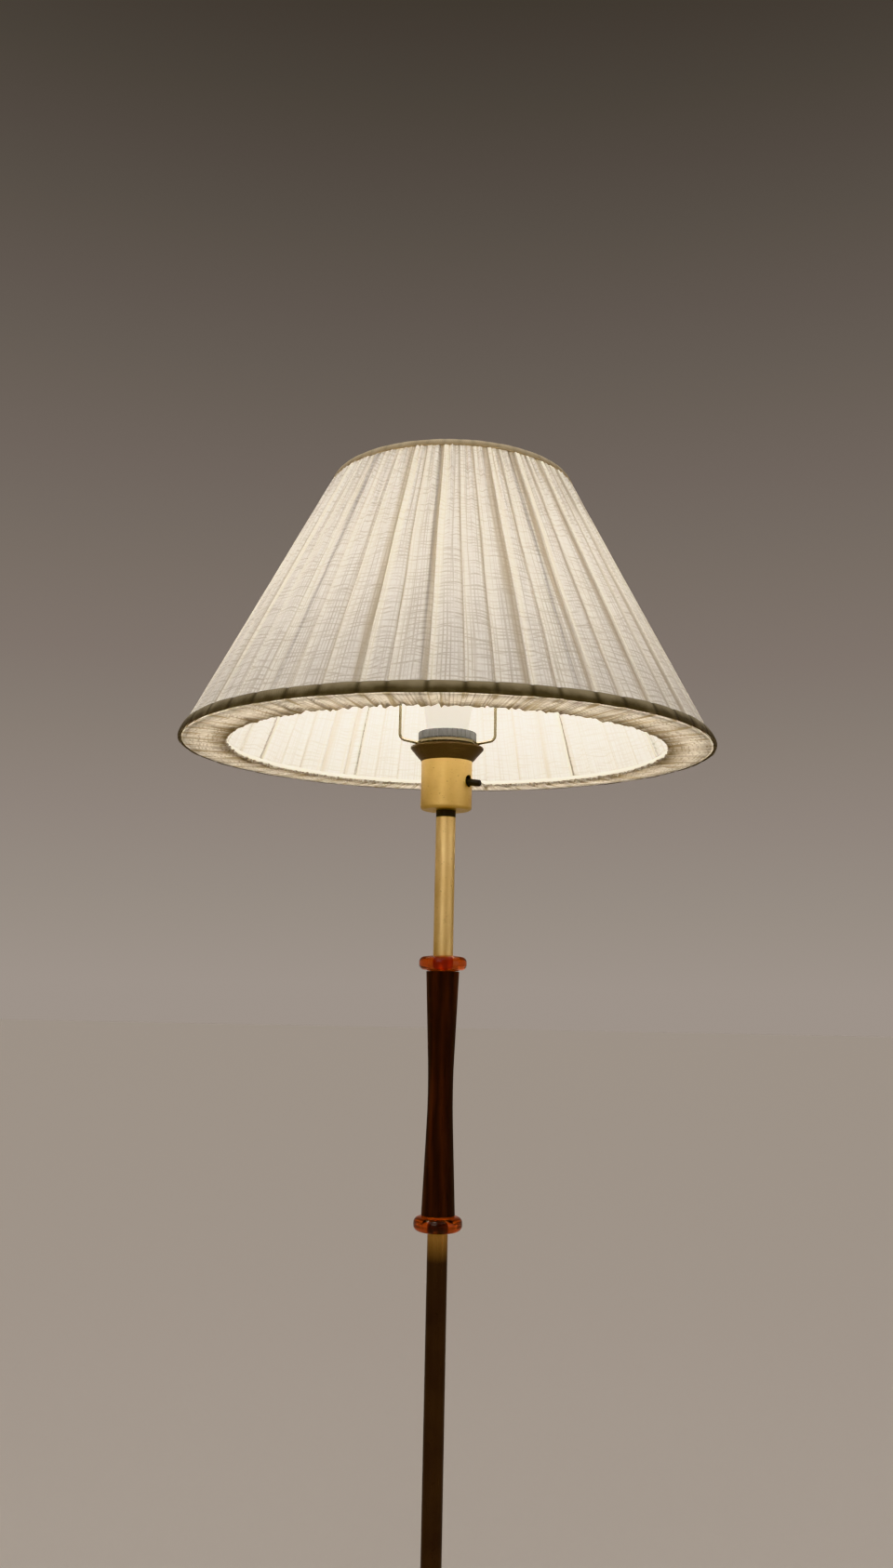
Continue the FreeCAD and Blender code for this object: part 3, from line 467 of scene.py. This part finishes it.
def pleat_profile(pleat, share, rise):
    """Offset from the cone, gathering, and distances to both edges, at a spot on a pleat."""
    girth = BOTTOM_RADIUS + (TOP_RADIUS - BOTTOM_RADIUS) * rise
    width = pleat["width"] * girth
    across = share * width
    to_end = width - across
    gathered = smoothstep(0.35, 1.0, rise)
    offset = pleat["bulge"] * math.sin(math.pi * share) * (1 - 0.4 * gathered)
    offset += pleat["lip"] * bell(across - 0.6 * MM, 1.9 * MM)
    offset -= 0.5 * MM * bell(to_end, 2.2 * MM)
    edge = math.sin(math.pi * share)
    gather = math.sin(math.tau * 2.5 * share + pleat["phase"] + 1.2 * math.sin(4 * rise))
    fine = math.sin(math.tau * 4.5 * share + 2.3 * pleat["phase"] + math.sin(7 * rise))
    offset += edge * (gathered * 1.4 * gather + smoothstep(0.7, 1.0, rise) * 0.7 * fine) * MM
    return offset, edge * (0.7 * gather + 0.5 * fine), across, to_end


def pleat_light(pleat, follow, share, rise, profile):
    """How far the cloth lies in two layers, with painted shade in its creases and gather valleys,
    and its painted highlight, at a spot on a pleat.

    The pleat that follows overlaps this one's far edge.
    """
    _, gather, across, to_end = profile
    tuck = follow["overlap"] * (1 + 0.25 * math.sin(5 * rise + follow["phase"]))
    layered = 1 - smoothstep(0.45 * tuck, tuck, to_end)
    # painted shade: a dark line along the crease, and in the gather valleys near the top
    crease = bell(to_end, 1.2 * MM)
    valley = smoothstep(0.3, 1.0, -gather) * smoothstep(0.5, 1.0, rise)
    fold = min(1.0, (0.24 + 0.76 * follow["gleam"]) * layered + 0.9 * crease + 0.55 * valley)
    # painted highlight: a strip and a line along the pleat's near edge, and a lighter side
    strip = smoothstep(0.0, 0.8 * MM, across) * (1 - smoothstep(3 * MM, 7 * MM, across))
    lit_edge = 0.60 * bell(across - 1.1 * MM, 0.9 * MM)
    lit_side = 0.38 * (1 - smoothstep(0.05, 0.50, share))
    return fold, max(pleat["gleam"] * strip, lit_edge, lit_side)


def shade_cloth():
    """The gathered cone of cloth, from the bottom piping to the top binding."""
    columns = []
    for number, pleat in enumerate(PLEATS):
        last = number == len(PLEATS) - 1
        for step in range(PLEAT_COLUMNS + (1 if last else 0)):
            share = step / PLEAT_COLUMNS
            # columns crowd towards both edges of the pleat, where the folds turn
            share = share - 0.55 * math.sin(math.tau * share) / math.tau
            columns.append((number, pleat, share))
    rows, cloth, fold, gleam = [], [], [], []
    for row in range(SHADE_ROWS + 1):
        rise = row / SHADE_ROWS
        height = SHADE_FOOT + (SHADE_TOP - SHADE_FOOT) * rise
        cone = BOTTOM_RADIUS + (TOP_RADIUS - BOTTOM_RADIUS) * rise
        points = []
        for number, pleat, share in columns:
            profile = pleat_profile(pleat, share, rise)
            angle = pleat["start"] + share * pleat["width"]
            spot = Vector((5 * math.cos(angle), 5 * math.sin(angle), 2.5 * rise))
            angle += 0.010 * noise.noise(spot) * math.sin(math.pi * rise)
            pinch = smoothstep(0, 0.04, rise) * smoothstep(0, 0.03, 1 - rise)
            offset = profile[0] * (0.35 + 0.65 * pinch) - 0.3 * MM
            radius = cone + offset * math.cos(CONE_TILT)
            points.append(around_axis(angle, radius, height + offset * math.sin(CONE_TILT)))
            follow = PLEATS[(number + 1) % len(PLEATS)]
            doubled_and_shaded, lit = pleat_light(pleat, follow, share, rise, profile)
            fold.append(doubled_and_shaded)
            gleam.append(lit)
            cloth.append((pleat["start"] * BOTTOM_RADIUS + share * pleat["width"] * BOTTOM_RADIUS,
                          rise * SLANT, float(number)))
        rows.append(points)
    piece = grid_object("shade_cloth", rows)
    set_attributes(piece, cloth, fold=fold, gleam=gleam)
    piece.data.materials.append(linen_material("gathered_linen", streaks=0.25,
                                               passing_share=0.22, double_and_shade_color=(0.23, 0.175, 0.10)))
    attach(piece, "shade")
    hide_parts("shade_fabric")


def underside_ripple(angle, share, drift):
    """How far the gathers stand out at an angle: two waves that wander and vary in depth."""
    spot = Vector((math.cos(angle), math.sin(angle), 0.3))
    wander = 1.4 * noise.noise(spot * 9) + 0.7 * noise.noise(spot * 31)
    depth = 0.55 + 0.9 * noise.noise(spot * 17 + Vector((5, 2, 1)))
    slant = 9 * noise.noise(spot * 6 + Vector((3, 8, 2))) * share
    wave = math.sin(GATHERS * angle + 6 * wander + slant)
    slow = math.sin(0.47 * GATHERS * angle + drift + 6 * wander + slant)
    return (0.8 * wave + 0.6 * slow) * max(0.25, depth)


def underside_fold_and_shade(ripple, share, turn, nearest):
    """How far the cloth lies in two layers along the hem and towards its gathered edge, with
    painted shade in its creases and a painted shadow at each pleat's notch.
    """
    # painted shade in the gathers' creases, and a painted shadow at each pleat's notch under the
    # piping
    crease = smoothstep(-0.10, 0.80, -ripple)
    breadth = (2.6 * (1 - smoothstep(0, 0.5, share)) + 0.4) * MM
    notch = bell(nearest, breadth) * (1 - smoothstep(0.3, 0.6, share))
    edge = smoothstep(0.40, 0.95, share)
    return min(1.0, 0.06 + 0.36 * edge + 0.95 * crease * (0.45 + 0.55 * share)
               + 0.9 * notch + 0.55 * turn)


def underside_cloth():
    """The cloth turned in under the shade and gathered over the inner ring.

    Share runs from the piping in to the inner ring. Climb and turn say how far the cloth
    curls up behind the piping and round the hem.
    """
    drift = random.Random(SEED + 2).uniform(0, math.tau)
    rows, cloth, fold = [], [], []
    for row in range(UNDERSIDE_ROWS + HEM_ROWS + 1):
        share = min(1.0, max(0, row - CLIMB_ROWS) / (UNDERSIDE_ROWS - CLIMB_ROWS))
        turn = max(0.0, (row - UNDERSIDE_ROWS) / HEM_ROWS)
        climb = max(0.0, 1 - row / CLIMB_ROWS)
        points = []
        for column in range(UNDERSIDE_COLUMNS + 1):
            angle = math.pi + math.tau * column / UNDERSIDE_COLUMNS
            ripple = underside_ripple(angle, share, drift)
            girth = BOTTOM_RADIUS + (OPENING_RADIUS - BOTTOM_RADIUS) * share
            girth -= 1.6 * MM * smoothstep(0.7, 1.0, share) * ripple * (1 - 0.6 * turn)
            girth += 0.7 * MM * (1 - math.cos(math.pi * turn)) - 1.6 * MM * climb
            height = (UNDER_LOW.z + 1.0 * MM * (1 - share) + 2.6 * MM * turn
                      + 3.0 * MM * climb
                      + (0.5 + 1.5 * share) * MM * ripple * smoothstep(0, 0.15, share)
                      * (1 - 0.5 * turn))
            points.append(around_axis(angle, girth, height))
            fold.append(underside_fold_and_shade(ripple, share, turn, from_pleat(angle, girth)))
            cloth.append((angle * BOTTOM_RADIUS, -share * (BOTTOM_RADIUS - OPENING_RADIUS),
                          0.5 * math.floor(angle / math.radians(PLEAT_STEP))))
        rows.append(points)
    piece = grid_object("shade_underside_cloth", rows)
    set_attributes(piece, cloth, fold=fold)
    piece.data.materials.append(linen_material("gathered_linen_underside", streaks=0.6,
                                               passing_share=0.82, double_and_shade_color=(0.31, 0.25, 0.16)))
    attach(piece, "shade")
    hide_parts("shade_underside_fabric")


def binding(name, node, material, thickness, plump, bumps, pinch_shade):
    """A folded cloth tape sewn round an edge of the shade, pinched in at each pleat, with painted
    shade in each pinch.

    Its section is an oval, which a small plump value makes squarer.
    """
    low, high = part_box(node)
    inner_low = radii(node, low.z)[0]
    inner_high = radii(node, high.z)[0]
    half = (high.z - low.z) / 2
    phase = random.Random(SEED + 3).uniform(0, math.tau)
    rows, cloth, fold = [], [], []
    for step in range(TAPE_SECTION):
        turn = math.tau * step / TAPE_SECTION
        side = math.copysign(abs(math.cos(turn)) ** plump, math.cos(turn))
        up = math.copysign(abs(math.sin(turn)) ** plump, math.sin(turn))
        points = []
        for column in range(TAPE_COLUMNS):
            angle = math.tau * column / TAPE_COLUMNS
            mark = bell(from_pleat(angle, inner_low), 2.2 * MM)
            swell = 1 - bumps * mark + 0.03 * math.sin(23 * angle + phase)
            height = half + half * up * swell * 0.985
            radius = (inner_low + (inner_high - inner_low) * height / (2 * half)
                      + thickness / 2 * (0.9 + side * swell))
            points.append(around_axis(angle, radius, low.z + height))
            # painted shade in the tape's pinch at each pleat
            fold.append(pinch_shade * mark)
            cloth.append((angle * inner_low, 2 * half * turn / math.pi, 0.5 + 0.5 * up))
        rows.append(points)
    piece = grid_object(name, rows, closed=True)
    set_attributes(piece, cloth, fold=fold)
    piece.data.materials.append(material)
    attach(piece, "shade")
    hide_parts(node)


def finish_nodes():
    """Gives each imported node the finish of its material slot, or one of its own.

    The cloth and tape nodes have none here, because pieces of this script stand for them.
    """
    polished = brass("polished_brass", (0.88, 0.665, 0.335), (0.58, 0.41, 0.17),
                     roughness=0.48, grain=(1, 1, 0.02), tarnish=0.35)
    # painted shade: the lower tube gets a darker copy of the brass, nearly black further down
    shadowed = brass("shaded_tube_brass", (0.44, 0.27, 0.13), (0.041, 0.034, 0.038),
                     roughness=0.30, grain=(1, 1, 0.02), top=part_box("lower_tube")[1].z)
    spun = brass("spun_brass", (0.68, 0.48, 0.20), (0.46, 0.31, 0.115),
                 roughness=0.40, grain=(0.3, 0.3, 1), tarnish=0.35)
    # painted shade: the flared collar gets a dark copy of the brass for the shade it lies in under
    # the bulb
    dark = brass("shaded_collar_brass", (0.150, 0.112, 0.072), (0.085, 0.062, 0.042),
                 roughness=0.30, grain=(0.02, 0.02, 1))
    # painted shade: the harp wires' brass is darkened for the shade they stand in against the lit
    # cloth
    wire = brass("shaded_brass_wire", (0.25, 0.215, 0.145), (0.13, 0.108, 0.065), roughness=0.22)
    steel = metal("zinc_steel", (0.55, 0.56, 0.57), roughness=0.32)
    nickel = metal("nickel", (0.68, 0.66, 0.62), roughness=0.2)
    board = metal("board_aluminium", (0.80, 0.80, 0.80), roughness=0.4)
    black = plastic("black_plastic", (0.012, 0.011, 0.010), roughness=0.38)
    bakelite = plastic("bakelite", (0.020, 0.012, 0.009), roughness=0.25)
    grey = plastic("grey_plastic", (0.150, 0.153, 0.157), roughness=0.12)
    ceramic = plastic("glazed_ceramic", (0.78, 0.76, 0.70), roughness=0.2)
    # painted light: the bulb housing glows a little, though only the globe gives light
    housing = plastic("bulb_housing_painted_glow", (0.90, 0.88, 0.84), roughness=0.4,
                      emission_color=(1.0, 0.94, 0.84), emission_strength=HOUSING_PAINTED_GLOW)
    enamel = plastic("white_enamel", (0.78, 0.75, 0.66), roughness=0.35, scale=300.0)
    lead = plastic("lead_sheath", (0.70, 0.69, 0.64), roughness=0.5)
    finishes = {
        "felt": felt_material(), "iron": iron_material(), "brass": polished,
        "brass_spun": spun, "steel": steel, "amber": amber_material(),
        "teak": wood_material(), "black_plastic": black, "bakelite": bakelite,
        "ceramic": ceramic, "grey_plastic": grey, "bulb_white": housing,
        "bulb_diffuser": globe_material(), "board": board, "nickel": nickel,
        "white_wire": enamel, "lead_white": lead,
    }
    special = {"harp_left_wire": wire, "harp_right_wire": wire, "harp_foot_ring": wire,
               "flared_collar": dark, "lower_tube": shadowed}
    slots = {row["node"]: row["material_slot"] for row in frame["record"]["subparts"]}
    for name, node in frame["nodes"].items():
        material = finishes.get(slots[name])
        if material is None:
            continue
        material = special.get(name, material)
        node.data.materials.clear()
        node.data.materials.append(material)


# ---------------------------------------------------------------- stage

def make_floor():
    """A plain pale floor at the lamp's foot."""
    floor = grid_object("floor", [[Vector((x, y, 0)) for x in (-FLOOR_REACH, FLOOR_REACH)]
                                  for y in (-FLOOR_REACH, FLOOR_REACH)])
    floor.data.materials.append(Paint("pale_floor", (0.85, 0.79, 0.73), 0.8).material)


def make_surround():
    """A plain warm grey all round, darker towards the zenith."""
    world = bpy.data.worlds.new("surround")
    world.use_nodes = True
    tree = world.node_tree
    ramp = tree.nodes.new("ShaderNodeValToRGB")
    for place, color in SURROUND:
        stop = ramp.color_ramp.elements.new(place)
        stop.color = (*color, 1.0)
    # the ramp's own first and last stops go, which leaves the three above
    ramp.color_ramp.elements.remove(ramp.color_ramp.elements[0])
    ramp.color_ramp.elements.remove(ramp.color_ramp.elements[-1])
    split = tree.nodes.new("ShaderNodeSeparateXYZ")
    rise = tree.nodes.new("ShaderNodeMath")
    rise.operation = "MULTIPLY_ADD"
    # half of a direction's height, plus a half, runs from 0 at the nadir to 1 at the zenith
    for socket in rise.inputs[1:]:
        socket.default_value = 0.5
    tree.links.new(tree.nodes.new("ShaderNodeTexCoord").outputs["Generated"], split.inputs[0])
    tree.links.new(split.outputs["Z"], rise.inputs[0])
    tree.links.new(rise.outputs[0], ramp.inputs["Fac"])
    tree.links.new(ramp.outputs["Color"], tree.nodes["Background"].inputs["Color"])
    bpy.context.scene.world = world
    bpy.context.scene.view_settings.view_transform = "Khronos PBR Neutral"


def make_lights():
    """A broad soft light from overhead, and the soft lights in front."""
    sky = bpy.data.lights.new("overhead", "SUN")
    sky.energy = 1.15
    sky.angle = math.radians(70)
    sky.color = (1.0, 0.95, 0.90)
    holder = bpy.data.objects.new("overhead", sky)
    holder.rotation_euler = (math.radians(20), math.radians(-8), 0)
    bpy.context.scene.collection.objects.link(holder)
    for name, place, target, size, power, color in SOFT_LIGHTS:
        lamp = bpy.data.lights.new(name, "AREA")
        lamp.size = size
        lamp.energy = power
        lamp.color = color
        holder = bpy.data.objects.new(name, lamp)
        holder.location = place
        aim = Vector(target) - Vector(place)
        holder.rotation_euler = aim.to_track_quat("-Z", "Y").to_euler()
        bpy.context.scene.collection.objects.link(holder)


def make_camera():
    """Stands at about chest height in front of the lamp and looks slightly up."""
    camera = bpy.data.cameras.new("camera")
    camera.sensor_width = SENSOR_WIDTH
    camera.lens = FOCAL_LENGTH
    holder = bpy.data.objects.new("camera", camera)
    look = Vector((0, math.cos(EYE_PITCH), math.sin(EYE_PITCH)))
    holder.location = EYE
    holder.rotation_mode = "QUATERNION"
    turn = Quaternion((0, 0, 1), EYE_ROLL)
    holder.rotation_quaternion = look.to_track_quat("-Z", "Y") @ turn
    bpy.context.scene.collection.objects.link(holder)
    bpy.context.scene.camera = holder


# ---------------------------------------------------------------- the whole lamp

make_camera()
finish_nodes()
shade_cloth()
underside_cloth()
binding("shade_top_binding", "shade_top_trim",
        braid_material("tan_tape", (0.60, 0.48, 0.30), (0.85, 0.74, 0.54)),
        thickness=2.2 * MM, plump=0.6, bumps=0.03, pinch_shade=0.2)
binding("shade_bottom_piping", "shade_bottom_trim",
        braid_material("olive_tape", (0.105, 0.086, 0.050), (0.44, 0.38, 0.25)),
        thickness=3.6 * MM, plump=0.85, bumps=0.10, pinch_shade=0.7)
make_floor()
make_surround()
make_lights()
